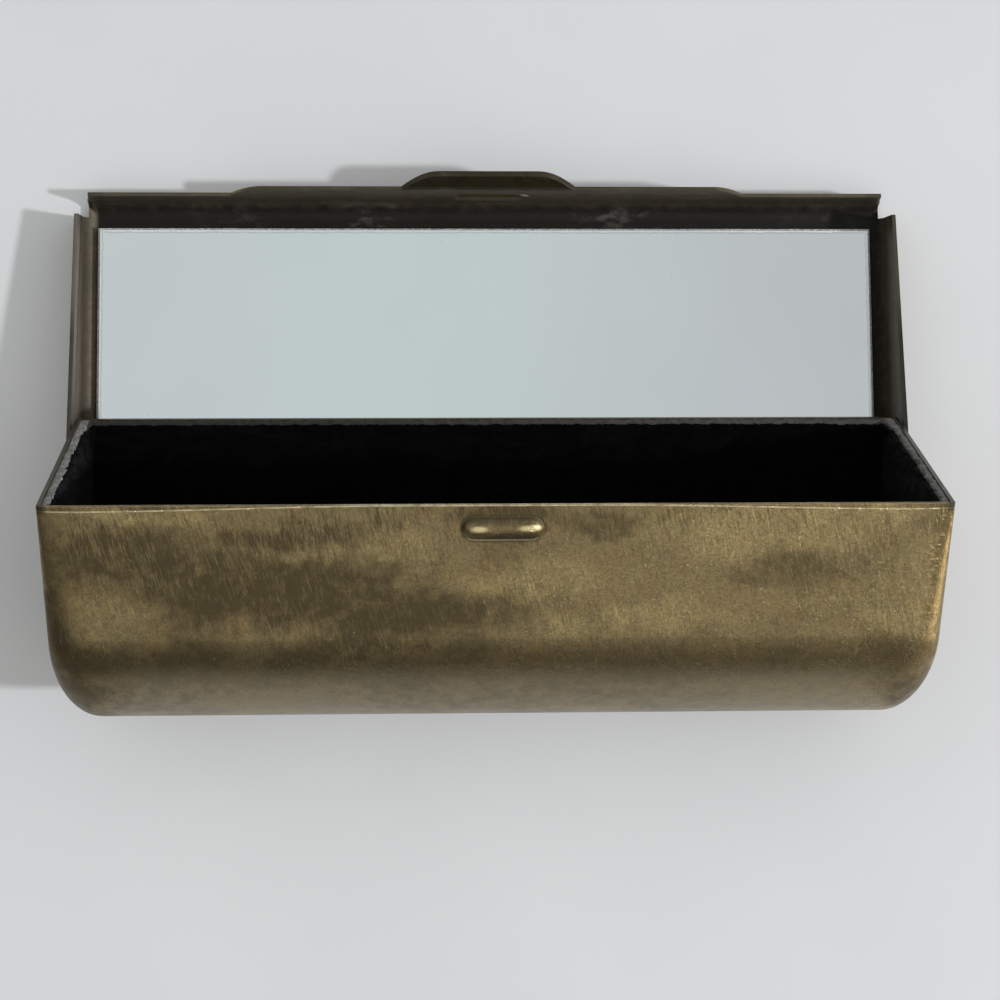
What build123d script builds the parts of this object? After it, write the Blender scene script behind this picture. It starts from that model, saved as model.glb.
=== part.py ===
from build123d import *
from math import asin, atan2, cos, degrees, hypot, radians, sin, sqrt, tan
import os

# A brass lipstick case: a lined trough with a half-round bottom, and a shallow hinged lid with a mirror.
# It lies as people lay it down: the lid open on its outer face, the base leaning on its rounded back edge.
# Row frame, millimetres: X runs along the case, Y from the hinge to the lid's free edge, Z up.

# Base, measured as if it stood upright: along the rim, front to back, and from the rim to the bottom
case_length = 86.0
case_depth = 25.6
case_height = 26.5
base_sheet = 0.4

# The base's ends turn in on a quarter ellipse: its length along the case, and its depth into the case
end_round_length = 3.9
end_round_at_rim = 0.3
end_round_at_wall = 1.6
end_round_at_bottom = 5.5
least_round = 0.05
end_sections = 7

# Lid: a folded tray that closes outside the base
lid_sheet = 0.4
lid_rise = 1.7
lid_bend = 2.0
lid_end_gap = 0.35
lid_front_gap = 0.6
lid_back_gap = 0.1

# Lid flanges, as heights above the lid's outer face: the front one steps up twice to a thumb tab
front_flange_low = 4.5
front_flange_high = 7.36
front_flange_step_inner = 24.0
front_flange_step_outer = 27.4
front_flange_slant = 0.4
thumb_tab_inner = 5.3
thumb_tab_outer = 9.2
thumb_tab_length = 2.0
thumb_tab_flare = 40.0
thumb_tab_trim = 0.02
shoulder_ease = 0.45
side_flange_front = 5.8
side_flange_back = 9.1
side_flange_slant = 0.7
corner_notch_length = 0.8
corner_notch_depth = 1.9

# Catch: a domed bead pressed out of the base's front wall, and the dimple in the lid that snaps over it
catch_length = 7.8
catch_width = 2.5
catch_height = 0.5
catch_drop = 2.4
catch_centre = 0.3
dimple_depth = 0.3
dimple_play = 0.1

# Hinge: two leaves with interlocking knuckles on one pin
hinge_drop = 3.45
hinge_length = 78.0
knuckle_count = 9
knuckle_radius = 0.75
knuckle_gap = 0.05
knuckle_end_gap = 0.1
pin_radius = 0.4
pin_play = 0.03
leaf_thickness = 0.35
base_leaf_width = 4.5

# Mirror and what is behind it
mirror_glass_thickness = 0.9
mirror_silver_thickness = 0.1
mirror_glue_thickness = 0.1
mirror_end_gap = 1.47
mirror_front_gap = 2.75
mirror_back_gap = 1.35
mirror_chamfer = 0.25
glue_margin = 2.0
silver_margin = 0.3

# Lining: black velvet on a soft grey backing, in a long trough piece and two end pieces
glue_gap = 0.05
backing_thickness = 0.55
velvet_thickness = 0.3
lining_joint = 0.05
lining_below_rim = 0.1
lining_front_drop = 0.9

over = 5.0

# Sizes that follow
bottom_radius = case_depth / 2
wall_height = case_height - bottom_radius
hinge_offset = knuckle_radius + knuckle_gap
hinge_height = hinge_drop + lid_rise
bottom_back = hinge_offset + bottom_radius
bottom_down = wall_height - hinge_drop
bottom_reach = hypot(bottom_back, bottom_down)
lean = degrees(atan2(bottom_down, bottom_back) + asin((bottom_radius - hinge_height) / bottom_reach))
open_angle = 180.0 - lean

lid_length = case_length + 2 * (lid_end_gap + lid_sheet)
lid_front = hinge_offset + case_depth + lid_front_gap + lid_sheet
lid_back = hinge_offset - lid_back_gap - lid_sheet
knuckle_pitch = hinge_length / knuckle_count

backing_at = base_sheet + glue_gap
velvet_at = backing_at + backing_thickness + glue_gap
lining_seam = case_length / 2 - velvet_at - velvet_thickness - lining_joint


def quarter_ellipse(depth, share):
    """How far a surface has turned in, a share of the way along the end rounding."""
    return depth * (1 - sqrt(max(0.0, 1 - share * share)))


def trough_section(along, inset, share):
    """Outline across the case at one place along it: straight walls, then a half ellipse for the bottom."""
    half = case_depth / 2 - inset
    at_rim = half - quarter_ellipse(max(least_round, end_round_at_rim - inset), share)
    at_wall = half - quarter_ellipse(max(least_round, end_round_at_wall - inset), share)
    down = bottom_radius - inset - quarter_ellipse(max(least_round, end_round_at_bottom - inset), share)
    at_top = at_rim + (at_rim - at_wall) * over / wall_height
    bottom = EllipticalCenterArc((0, -wall_height), at_wall, down, 180, arc_size=180)
    walls = Polyline((at_wall, -wall_height), (at_top, over), (-at_top, over), (-at_wall, -wall_height))
    return Plane.YZ.offset(along) * make_face([bottom, walls])


def trough_form(inset, end_inset):
    """The base's outside moved in by inset all round and by end_inset at the ends, as a solid past the rim."""
    half_length = case_length / 2 - end_inset
    straight = case_length / 2 - end_round_length
    round_length = half_length - straight
    middle = extrude(trough_section(0, inset, 0), straight, both=True)
    shares = [sin(radians(90 * step / (end_sections - 1))) for step in range(end_sections)]
    sections = [trough_section(straight + round_length * share, inset, share) for share in shares]
    end = loft(sections)
    return middle + end + mirror(end, Plane.YZ)


def slab(low, high):
    """A block from one corner to the other."""
    size = [b - a for a, b in zip(low, high)]
    return Pos(*low) * Box(*size, align=Align.MIN)


def below_rim(drop):
    """Everything in the base that is at least drop under the rim."""
    return slab((-case_length, -case_depth, -2 * case_height), (case_length, case_depth, -drop))


def dome_radius(half_width, height):
    """Radius of the round bar that stands height above a wall with a footprint of that half width."""
    return (half_width**2 + height**2) / (2 * height)


def round_bar(radius):
    """A bar along X with ball ends, as long between the balls' centres as the catch is straight."""
    run = catch_length - catch_width
    bar = Plane.YZ.offset(-run / 2) * extrude(Circle(radius), run)
    return bar + Pos(-run / 2, 0, 0) * Sphere(radius) + Pos(run / 2, 0, 0) * Sphere(radius)


def make_base_shell():
    """The drawn trough with its bead, which is as thin as the rest of the sheet."""
    bead_radius = dome_radius(catch_width / 2, catch_height)
    axis = Pos(catch_centre, bead_radius - catch_height - case_depth / 2, -catch_drop)
    outside = trough_form(0, 0) + axis * round_bar(bead_radius)
    inside = trough_form(base_sheet, base_sheet) + axis * round_bar(bead_radius - base_sheet)
    return (outside - inside) & below_rim(0)


def lining_trough(start, thickness):
    """One layer of the trough piece, start in from the base's outside; its front edge sits lower."""
    hollow = trough_form(start + thickness, start - glue_gap)
    layer = (trough_form(start, start) - hollow) & below_rim(lining_below_rim)
    between_ends = slab((-lining_seam, -case_depth, -2 * case_height), (lining_seam, case_depth, over))
    front_half = (case_length, 0, over)
    front_edge = slab((-case_length, -case_depth, -lining_front_drop), front_half)
    return (layer & between_ends) - front_edge


def lining_end(start, thickness):
    """One layer of the right end piece, start in from the base's outside."""
    outer = case_length / 2 - start
    plate = slab((outer - thickness, -case_depth, -2 * case_height), (case_length, case_depth, over))
    return trough_form(start, start) & plate & below_rim(lining_below_rim)


def knuckle_spans(first):
    """Start and end along the hinge of every other knuckle, beginning with the given one."""
    left = -hinge_length / 2
    spans = []
    for number in range(first, knuckle_count, 2):
        start = left + number * knuckle_pitch + knuckle_end_gap / 2
        spans.append((start, start + knuckle_pitch - knuckle_end_gap))
    return spans


def along_x(start, end, radius):
    """A round bar along X on the hinge axis."""
    return Plane.YZ.offset(start) * extrude(Circle(radius), end - start)


def leaf(plate_near, plate_far, reach, first):
    """A hinge leaf about the hinge axis: a plate that hangs down by reach, with its own knuckles."""
    plate = slab((-hinge_length / 2, plate_near, -reach), (hinge_length / 2, plate_far, -hinge_offset))
    for start, end in knuckle_spans(first):
        plate += slab((start, plate_near, -hinge_offset), (end, plate_far, 0))
        plate += along_x(start, end, knuckle_radius)
    return plate - along_x(-hinge_length, hinge_length, pin_radius + pin_play)


def make_base_leaf():
    return leaf(-hinge_offset, leaf_thickness - hinge_offset, base_leaf_width, 0)


def make_lid_leaf():
    reach = hinge_height - lid_bend
    return leaf(lid_back - leaf_thickness, lid_back, reach, 1)


def make_hinge_pin():
    return along_x(-hinge_length / 2, hinge_length / 2, pin_radius)


def tray_form(inset):
    """The lid's tray moved in by inset: its outer face is down, with its long edges rounded."""
    low = (-lid_length / 2 + inset, lid_back + inset, inset)
    high = (lid_length / 2 - inset, lid_front - inset, side_flange_back + over)
    form = slab(low, high)
    return fillet(form.faces().sort_by(Axis.Z)[0].edges(), lid_bend - inset)


def tab_reach():
    """Thumb tab's outer tip: how far it leans out of the flange, and its height over the flange."""
    flare = radians(thumb_tab_flare)
    return thumb_tab_length * sin(flare), thumb_tab_length * cos(flare)


def front_profile():
    """Section of the front flange where it is tallest: upright, then flared out for the thumb."""
    flare = radians(thumb_tab_flare)
    lean_out, rise = tab_reach()
    face = lid_front - lid_sheet
    crease = front_flange_high + lid_sheet * tan(flare / 2)
    start = lid_bend
    points = [
        (face, start),
        (lid_front, start),
        (lid_front, front_flange_high),
        (lid_front + lean_out, front_flange_high + rise),
        (lid_front + lean_out - lid_sheet * cos(flare), front_flange_high + rise + lid_sheet * sin(flare)),
        (face, crease),
    ]
    return make_face(Polyline(*points, close=True))


def shoulder(start, end):
    """From one height up to another on the flange's free edge: a sharp foot and a long rounded top."""
    ease = shoulder_ease * (end[0] - start[0])
    return Bezier(start, (end[0] - ease, end[1]), end)


def front_outline():
    """The front flange seen from the front: low at its slanted ends, then higher, highest at the tab, cut level."""
    half = lid_length / 2 - corner_notch_length
    top_half = half - front_flange_slant
    lean_out, rise = tab_reach()
    top = front_flange_high + rise - thumb_tab_trim
    right = [
        Line((half, 0), (top_half, front_flange_low)),
        Line((top_half, front_flange_low), (front_flange_step_outer, front_flange_low)),
        shoulder((front_flange_step_outer, front_flange_low), (front_flange_step_inner, front_flange_high)),
        Line((front_flange_step_inner, front_flange_high), (thumb_tab_outer, front_flange_high)),
        shoulder((thumb_tab_outer, front_flange_high), (thumb_tab_inner, top)),
    ]
    left = [mirror(edge, Plane.YZ) for edge in right]
    ends = [Line((-half, 0), (half, 0)), Line((-thumb_tab_inner, top), (thumb_tab_inner, top))]
    return make_face(right + left + ends)


def make_front_flange():
    """The flange with its thumb tab, and the dimple pressed outwards over the place of the base's bead."""
    strip = Plane.YZ.offset(-lid_length / 2) * extrude(front_profile(), lid_length)
    outline = Plane.XZ.offset(-lid_front - 2 * over) * extrude(front_outline(), 4 * over)
    face = lid_front - lid_sheet
    hollow_radius = dome_radius(catch_width / 2 + dimple_play, dimple_depth)
    axis = Pos(catch_centre, face + dimple_depth - hollow_radius, lid_rise + catch_drop)
    in_front = slab((-lid_length, face + lid_sheet / 2, 0), (lid_length, lid_front + over, lid_length))
    dimple = (axis * round_bar(hollow_radius + lid_sheet)) & in_front
    return (strip & outline) + dimple - axis * round_bar(hollow_radius)


def side_flange_waste():
    """What is cut away above the side flanges, which get deeper towards the hinge."""
    front = lid_front - corner_notch_depth
    foot = lid_bend / 2
    points = [
        (front, foot),
        (front - side_flange_slant, side_flange_front),
        (lid_back, side_flange_back),
        (lid_back - over, side_flange_back),
        (lid_back - over, side_flange_back + 2 * over),
        (lid_front + over, side_flange_back + 2 * over),
        (lid_front + over, foot),
    ]
    outline = make_face(Polyline(*points, close=True))
    inner = lid_length / 2 - corner_notch_length
    right = Plane.YZ.offset(inner) * extrude(outline, lid_length)
    return [right, mirror(right, Plane.YZ)]


def corner_notches():
    """The open front corners, where the folded flanges don't meet."""
    inner = lid_length / 2 - corner_notch_length
    near = lid_front - corner_notch_depth
    block = slab((inner, near, -over), (lid_length, lid_front + over, side_flange_back + 2 * over))
    return [block, mirror(block, Plane.YZ)]


def make_lid_shell():
    tray = tray_form(0) - tray_form(lid_sheet)
    low_front = slab((-lid_length, lid_front - lid_bend, lid_bend), (lid_length, lid_front + over, 4 * over))
    back_edge = hinge_height - hinge_offset - knuckle_gap
    inner = lid_length / 2 - lid_sheet
    low_back = slab((-inner, lid_back - over, back_edge), (inner, lid_back + lid_bend, 4 * over))
    tray = tray - low_front - low_back
    for waste in side_flange_waste() + corner_notches():
        tray -= waste
    return tray + make_front_flange()


def mirror_block(margin, low, thickness):
    """A flat layer of the mirror, margin inside the glass's outline."""
    front = lid_front - lid_sheet - mirror_front_gap - margin
    back = lid_back + lid_sheet + mirror_back_gap + margin
    half = lid_length / 2 - lid_sheet - mirror_end_gap - margin
    return slab((-half, back, low), (half, front, low + thickness))


def make_mirror():
    silver_at = lid_sheet + mirror_glue_thickness
    glass_at = silver_at + mirror_silver_thickness
    glue = mirror_block(glue_margin, lid_sheet, mirror_glue_thickness)
    silver = mirror_block(silver_margin, silver_at, mirror_silver_thickness)
    glass = mirror_block(0, glass_at, mirror_glass_thickness)
    glass = chamfer(glass.faces().sort_by(Axis.Z)[-1].edges(), mirror_chamfer)
    return glue, silver, glass


def make_base_parts():
    """The base's pieces about the hinge axis, upright."""
    backing_end = lining_end(backing_at, backing_thickness)
    velvet_end = lining_end(velvet_at, velvet_thickness)
    pieces = {
        "base_shell": make_base_shell(),
        "lining_backing_trough": lining_trough(backing_at, backing_thickness),
        "lining_backing_left": mirror(backing_end, Plane.YZ),
        "lining_backing_right": backing_end,
        "lining_velvet_trough": lining_trough(velvet_at, velvet_thickness),
        "lining_velvet_left": mirror(velvet_end, Plane.YZ),
        "lining_velvet_right": velvet_end,
    }
    to_hinge = Pos(0, -hinge_offset - case_depth / 2, hinge_drop)
    placed = {name: to_hinge * piece for name, piece in pieces.items()}
    placed["base_hinge_leaf"] = make_base_leaf()
    placed["hinge_pin"] = make_hinge_pin()
    return placed


def make_lid_parts():
    """The lid's pieces lying on the lid's outer face, with the hinge axis over the origin."""
    glue, silver, glass = make_mirror()
    return {
        "lid_shell": make_lid_shell(),
        "lid_hinge_leaf": Pos(0, 0, hinge_height) * make_lid_leaf(),
        "mirror_glue": glue,
        "mirror_silver": silver,
        "mirror_glass": glass,
    }


def make_case():
    """Every piece where it lies, with the origin on the table under the middle of the whole."""
    lean_over = Pos(0, 0, hinge_height) * Rot(X=-lean)
    pieces = {name: lean_over * piece for name, piece in make_base_parts().items()}
    pieces.update(make_lid_parts())
    boxes = [piece.bounding_box() for piece in pieces.values()]
    middle = (min(box.min.Y for box in boxes) + max(box.max.Y for box in boxes)) / 2
    print(f"hinge axis at y {-middle:.5f} z {hinge_height:.5f}, open angle {open_angle:.4f}")
    return {name: Pos(0, -middle, 0) * piece for name, piece in pieces.items()}


os.makedirs("parts", exist_ok=True)
for name, piece in make_case().items():
    export_step(piece, f"parts/{name}.step")
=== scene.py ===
# %% [markdown]
# # A brass lipstick case, open on a table
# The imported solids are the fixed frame: what is made here keeps to their sizes and rides on their two
# bodies. Metal that already has its true shape keeps its mesh and gets a look, and the soft lining, which
# no solid can describe, is built again as cloth with a cut edge.

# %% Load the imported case
import math
import random

import bmesh
import bpy
import numpy as np
from mathutils import Matrix, Vector, noise


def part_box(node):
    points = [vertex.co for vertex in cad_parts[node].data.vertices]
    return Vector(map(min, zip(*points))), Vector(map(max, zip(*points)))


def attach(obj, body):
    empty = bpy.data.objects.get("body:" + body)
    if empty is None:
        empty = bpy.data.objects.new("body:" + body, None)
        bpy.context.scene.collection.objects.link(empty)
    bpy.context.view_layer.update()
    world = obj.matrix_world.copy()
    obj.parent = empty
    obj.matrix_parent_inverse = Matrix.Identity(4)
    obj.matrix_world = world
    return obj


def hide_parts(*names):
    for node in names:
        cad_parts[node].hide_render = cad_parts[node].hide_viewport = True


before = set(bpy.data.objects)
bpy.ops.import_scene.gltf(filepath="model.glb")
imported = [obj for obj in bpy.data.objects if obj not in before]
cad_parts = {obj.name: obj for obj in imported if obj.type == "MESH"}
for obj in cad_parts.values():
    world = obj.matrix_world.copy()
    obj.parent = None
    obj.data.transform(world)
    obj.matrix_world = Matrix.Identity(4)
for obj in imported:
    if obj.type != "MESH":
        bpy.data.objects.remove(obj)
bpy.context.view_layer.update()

# %% [markdown]
# ## One set of sizes
# The base lies on its rounded back edge. It is easier to think of it standing upright: X along the case, Y
# front to back with 0 in the middle, Z up from the rim. One matrix then leans everything over about the
# hinge, and the same matrix backwards gives looks the upright place of a point.

# %% Sizes in millimetres, and the way from the upright base to the table
case_length, case_depth, case_height = 86.0, 25.6, 26.5
bottom_radius = case_depth / 2
wall_height = case_height - bottom_radius
hinge_offset, hinge_drop = 0.8, 3.45
hinge = Vector((0, -0.32683, 5.15))
lean = math.radians(63.6972)

lay_down = Matrix.Translation(hinge) @ Matrix.Rotation(-lean, 4, "X")
lay_down = lay_down @ Matrix.Translation((0, -hinge_offset - bottom_radius, hinge_drop))
stand_up = lay_down.inverted()
rim_front = lay_down @ Vector((0, -bottom_radius, 0))
print("front rim lies at y", round(rim_front.y, 2), "z", round(rim_front.z, 2), "mm")

# %% [markdown]
# ## The camera
# The photographer held the camera almost straight above, a little towards the front. Its place and turn
# were worked out from the corners of the case, so the render can be laid over the photograph.

# %% Camera
def into_scene(name, data):
    """A new object in the scene that shows this data."""
    thing = bpy.data.objects.new(name, data)
    bpy.context.scene.collection.objects.link(thing)
    return thing


eye = bpy.data.cameras.new("eye")
eye.sensor_width = 36
eye.lens = 75.375
camera = into_scene("camera", eye)
camera.location = (-0.00793884, -0.0269991, 0.2246652)
camera.rotation_euler = [math.radians(v) for v in (5.46516, -2.30398, -0.45267)]
eye.clip_start, eye.clip_end = 0.01, 10
bpy.context.scene.camera = camera
print("camera", round(camera.location.z * 1000, 1), "mm above the table, lens", eye.lens, "mm")

# %% [markdown]
# ## Mixing a look
# The look of a piece is a graph of nodes. Written out node by node it is hard to read, so one small helper
# adds a node and hands back its output, ready for the next one. A second one knows about materials, and
# works places out in millimetres.

# %% A helper for graphs of nodes
class Graph:
    """The nodes of one tree, added one at a time."""

    def __init__(self, tree):
        self.tree = tree
        self.tree.nodes.clear()

    def add(self, kind, plugs, out=0, **settings):
        node = self.tree.nodes.new("ShaderNode" + kind)
        for key, value in settings.items():
            setattr(node, key, value)
        for key, value in plugs.items():
            self.plug(node.inputs[key], value)
        return node.outputs[out]

    def plug(self, socket, value):
        if isinstance(value, bpy.types.NodeSocket):
            self.tree.links.new(value, socket)
        elif socket.type == "RGBA":
            socket.default_value = (*value, 1)
        else:
            socket.default_value = value

    def math(self, operation, a, b=0.0, clamp=False):
        return self.add("Math", {0: a, 1: b}, operation=operation, use_clamp=clamp)

    def times(self, a, b):
        return self.math("MULTIPLY", a, b)

    def plus(self, a, b, clamp=False):
        return self.math("ADD", a, b, clamp)

    def minus(self, a, b):
        return self.math("SUBTRACT", a, b)

    def larger(self, a, b):
        return self.math("MAXIMUM", a, b)

    def size(self, a):
        return self.math("ABSOLUTE", a)

    def more(self, total, mask, share):
        """A total with a share of a mask added to it, held at 1."""
        return self.plus(total, self.times(mask, share), clamp=True)

    def sum_of(self, shares):
        """The sum of shares, held at 1."""
        total = shares[0]
        for share in shares[1:]:
            total = self.plus(total, share, clamp=True)
        return total

    def between(self, value, low, high, to_low=0.0, to_high=1.0):
        """A value scaled from one range to another and held at its ends."""
        ends = {"From Min": low, "From Max": high, "To Min": to_low, "To Max": to_high}
        return self.add("MapRange", {"Value": value, **ends}, interpolation_type="SMOOTHSTEP")

    def falls(self, value, low, high):
        """1 up to the low end, then down to 0 at the high end."""
        return self.between(value, low, high, 1.0, 0.0)

    def mix(self, share, a, b, blend="MIX"):
        return self.add("Mix", {0: share, 6: a, 7: b}, out=2, data_type="RGBA", blend_type=blend)

    def axes(self, place):
        node = self.tree.nodes.new("ShaderNodeSeparateXYZ")
        self.plug(node.inputs[0], place)
        return node.outputs[0], node.outputs[1], node.outputs[2]


# %% A helper for looks
class Look(Graph):
    """The graph of one material."""

    def __init__(self, name):
        self.material = bpy.data.materials.new(name)
        self.material.use_nodes = True
        super().__init__(self.material.node_tree)

    def paint(self, colour, mask, share, tone):
        """A tone laid over a colour where a mask is 1, as thickly as its share says."""
        return self.mix(self.times(mask, share), colour, tone)

    def noise(self, place, scale, detail=4.0, roughness=0.55, distortion=0.0):
        grain = {"Scale": scale, "Detail": detail, "Roughness": roughness, "Distortion": distortion}
        return self.add("TexNoise", {"Vector": place, **grain})

    def turned(self, place, degrees=(0, 0, 0), stretch=(1, 1, 1)):
        turn = [math.radians(d) for d in degrees]
        return self.add("Mapping", {"Vector": place, "Rotation": turn, "Scale": stretch})

    def place(self, matrix=Matrix.Identity(4)):
        """Where a point is, in millimetres, after a matrix that itself works in millimetres."""
        where = self.add("TexCoord", {}, out=3)
        move = {"Location": matrix.translation, "Rotation": matrix.to_euler(), "Scale": (1000, 1000, 1000)}
        return self.add("Mapping", {"Vector": where, **move})

    def edges(self, radius):
        """1 where two faces meet in an edge and 0 on flat ground, and a normal that rounds the edge."""
        round_normal = self.add("Bevel", {"Radius": radius / 1000}, samples=4)
        flat_normal = self.add("NewGeometry", {}, out=1)
        along = self.add("VectorMath", {0: round_normal, 1: flat_normal}, out=1, operation="DOT_PRODUCT")
        return self.between(self.minus(1.0, along), 0.01, 0.16), round_normal

    def bump(self, height, strength=1.0, normal=None):
        """A normal from a height in millimetres."""
        plugs = {"Strength": strength, "Distance": 0.001, "Height": height}
        if normal is not None:
            plugs["Normal"] = normal
        return self.add("Bump", plugs)

    def shade(self, **sockets):
        node = self.tree.nodes.new("ShaderNodeBsdfPrincipled")
        for key, value in sockets.items():
            self.plug(node.inputs[key.replace("_", " ")], value)
        output = self.tree.nodes.new("ShaderNodeOutputMaterial")
        self.plug(output.inputs[0], node.outputs[0])
        return self.material


def dress(nodes, material):
    for name in nodes:
        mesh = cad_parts[name].data
        mesh.materials.clear()
        mesh.materials.append(material)
    print(material.name, "on", ", ".join(nodes))


# %% [markdown]
# ## Table, window and room
# The table is a plain pale matt top. Old brass shows the whole room, softly: bright where the ceiling and
# window are, dark low down towards the photographer. So the room is painted as a gradient over direction,
# and one small soft lamp from the right stands for the window and throws the clear shadow to the left.

# %% The table top
def build_table():
    look = Look("table_top")
    place = look.place()
    tone = look.noise(place, 0.02, 3.0)
    grain = look.noise(place, 2.5, 4.0)
    colour = look.mix(look.between(tone, 0.35, 0.65), (0.668, 0.678, 0.702), (0.690, 0.700, 0.724))
    normal = look.bump(look.times(grain, 0.02), 0.5)
    material = look.shade(Base_Color=colour, Roughness=0.62, Normal=normal)
    half = 1.5
    mesh = bpy.data.meshes.new("table")
    corners = [(-half, -half, 0), (half, -half, 0), (half, half, 0), (-half, half, 0)]
    mesh.from_pydata(corners, [], [(0, 1, 2, 3)])
    mesh.materials.append(material)
    table = into_scene("table", mesh)
    return table


table = build_table()
print("table", table.dimensions.x, "m wide")

# %% The lamp
shadow_reach = Vector((1.07, -0.295, 1.0))
lamp_way = shadow_reach.normalized()
lamp_distance = 1.60
lamp_data = bpy.data.lights.new("window", "AREA")
lamp_data.shape = "DISK"
lamp_data.size = 0.104
lamp_data.energy = 13.2
lamp_data.color = (0.965, 0.97, 1.0)
lamp = into_scene("window", lamp_data)
lamp.location = lamp_way * lamp_distance
lamp.rotation_euler = lamp_way.to_track_quat("Z", "Y").to_euler()
print("lamp", round(math.degrees(lamp_way.angle(Vector((0, 0, 1)))), 1), "degrees from straight above")

# %% The room
def paint_room():
    world = bpy.data.worlds.new("room")
    world.use_nodes = True
    room = Graph(world.node_tree)
    way = room.add("TexCoord", {}, out="Generated")
    east, north, up = room.axes(way)
    from_west = room.add("Math", {0: east, 1: 0.5, 2: 0.5}, operation="MULTIPLY_ADD")

    def ramp(source, stops):
        made = room.add("ValToRGB", {0: source}).node
        made.color_ramp.interpolation = "EASE"
        elements = made.color_ramp.elements
        while len(elements) < len(stops):
            elements.new(0.5)
        for element, (position, colour) in zip(elements, stops):
            element.position = position
            element.color = (*colour, 1)
        return made.outputs[0]

    def patch(towards, inner, outer):
        """1 within inner degrees of a direction, falling to 0 at outer degrees."""
        plugs = {0: way, 1: Vector(towards).normalized()}
        along = room.add("VectorMath", plugs, out=1, operation="DOT_PRODUCT")
        return room.between(along, math.cos(math.radians(outer)), math.cos(math.radians(inner)))

    front = ramp(up, [
        (0.0, (0.07, 0.068, 0.06)), (0.31, (0.07, 0.068, 0.06)), (0.47, (0.30, 0.295, 0.27)),
        (0.62, (0.72, 0.71, 0.67)), (0.82, (0.90, 0.90, 0.88)), (0.93, (1, 1, 1)),
    ])
    sides = ramp(up, [
        (0.0, (0.12, 0.115, 0.11)), (0.40, (0.34, 0.335, 0.33)), (0.58, (0.54, 0.54, 0.53)),
        (0.76, (0.90, 0.90, 0.88)), (0.93, (1, 1, 1)),
    ])
    across = ramp(from_west, [
        (0.05, (1.05, 1.05, 1.02)), (0.42, (0.92, 0.92, 0.90)), (0.95, (1.2, 1.18, 1.14)),
    ])
    ceiling = ramp(from_west, [
        (0.40, (0.554, 0.597, 0.601)), (0.50, (0.556, 0.623, 0.621)), (0.62, (0.513, 0.530, 0.550)),
    ])
    dim_corner, warm_glow = (0.05, 0.045, 0.04), (3.4, 3.0, 2.4)
    light = room.mix(room.between(north, -0.15, -0.45), sides, front)
    light = room.mix(1.0, light, across, "MULTIPLY")
    light = room.mix(patch((-0.72, -0.62, 0.25), 8, 34), light, dim_corner)
    light = room.mix(patch((0.86, -0.49, 0.14), 5, 17), light, warm_glow)
    light = room.mix(room.between(up, 0.86, 0.95), light, ceiling)
    output = room.tree.nodes.new("ShaderNodeOutputWorld")
    room.plug(output.inputs[0], room.add("Background", {0: light}))
    bpy.context.scene.world = world
    return len(room.tree.nodes)


print("room painted with", paint_room(), "nodes")
bpy.context.scene.view_settings.view_transform = "Standard"

# %% [markdown]
# ## Old brass
# The case was brushed brass once. Years in a handbag laid a brown skin over it, rubbed it bright again at
# the rim and corners, and left fine scratches at every angle. One graph makes all of it: slow clouds of
# brown, winding hairlines about a millimetre apart, noise drawn out into scratches, and a mask that finds
# edges for the wear. The same mask also rounds the light over each edge a little, so that edges catch the
# window. Each metal piece sets its own amounts.

# %% Marks on metal
def drawn_out(look, place, degrees, width, length):
    """The place squeezed across and drawn out along, at one angle from upright."""
    turned = look.turned(place, (0, degrees, 0))
    return look.turned(turned, stretch=(1 / width, 1 / width, 1 / length))


def scratches(look, place, degrees, width, length, amount):
    """Fine lines at one angle from upright."""
    lines = look.noise(drawn_out(look, place, degrees, width, length), 1.0, 3.0, 0.6)
    return look.between(lines, 0.70 - amount, 0.80 - amount)


def stroke(look, place, degrees, width, length):
    """Soft brush strokes at one angle from upright, about 0.5 on average."""
    return look.noise(drawn_out(look, place, degrees, width, length), 0.5, 3.0, 0.65)


def hairlines(look, place, scale, width):
    """Thin winding lines, where a smooth noise passes through its middle value."""
    field = look.noise(place, scale, 2.5, 0.55, 1.4)
    off = look.size(look.minus(field, 0.5))
    return look.falls(off, 0.0, width)


def specks(look, place, scale, radius, share):
    """Small round dots: scale per millimetre, radius in millimetres, share of them that are there."""
    cell = look.tree.nodes.new("ShaderNodeTexVoronoi")
    look.plug(cell.inputs["Vector"], place)
    cell.inputs["Scale"].default_value = scale
    dot = look.falls(cell.outputs["Distance"], radius * scale * 0.5, radius * scale)
    pick = look.axes(cell.outputs["Color"])[0]
    return look.times(dot, look.falls(pick, share - 0.02, share + 0.02))


# %% How much skin and how much bare metal
def skin_and_metal(look, marks, brown, wear, brushed):
    """Two shares from 0 to 1: how brown the skin is, and how bright the metal shows through."""
    skin_share = look.times(look.between(marks["cloud"], 0.42, 0.62), 0.45)
    skin_share = look.plus(skin_share, brown, clamp=True)
    fine = look.between(marks["mottle"], 0.32, 0.68, -0.26, 0.26)
    strokes = look.times(look.between(marks["strokes"], 0.76, 1.24, -0.66, 0.66), brushed)
    skin_share = look.plus(skin_share, look.plus(fine, strokes), clamp=True)
    skin_share = look.more(skin_share, marks["worms"], 0.18)
    bright_share = look.plus(look.times(marks["lines"], 0.65), wear, clamp=True)
    broken = look.between(marks["mottle"], 0.3, 0.62, 1.15, 0.75)
    return skin_share, look.times(bright_share, broken)


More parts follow.
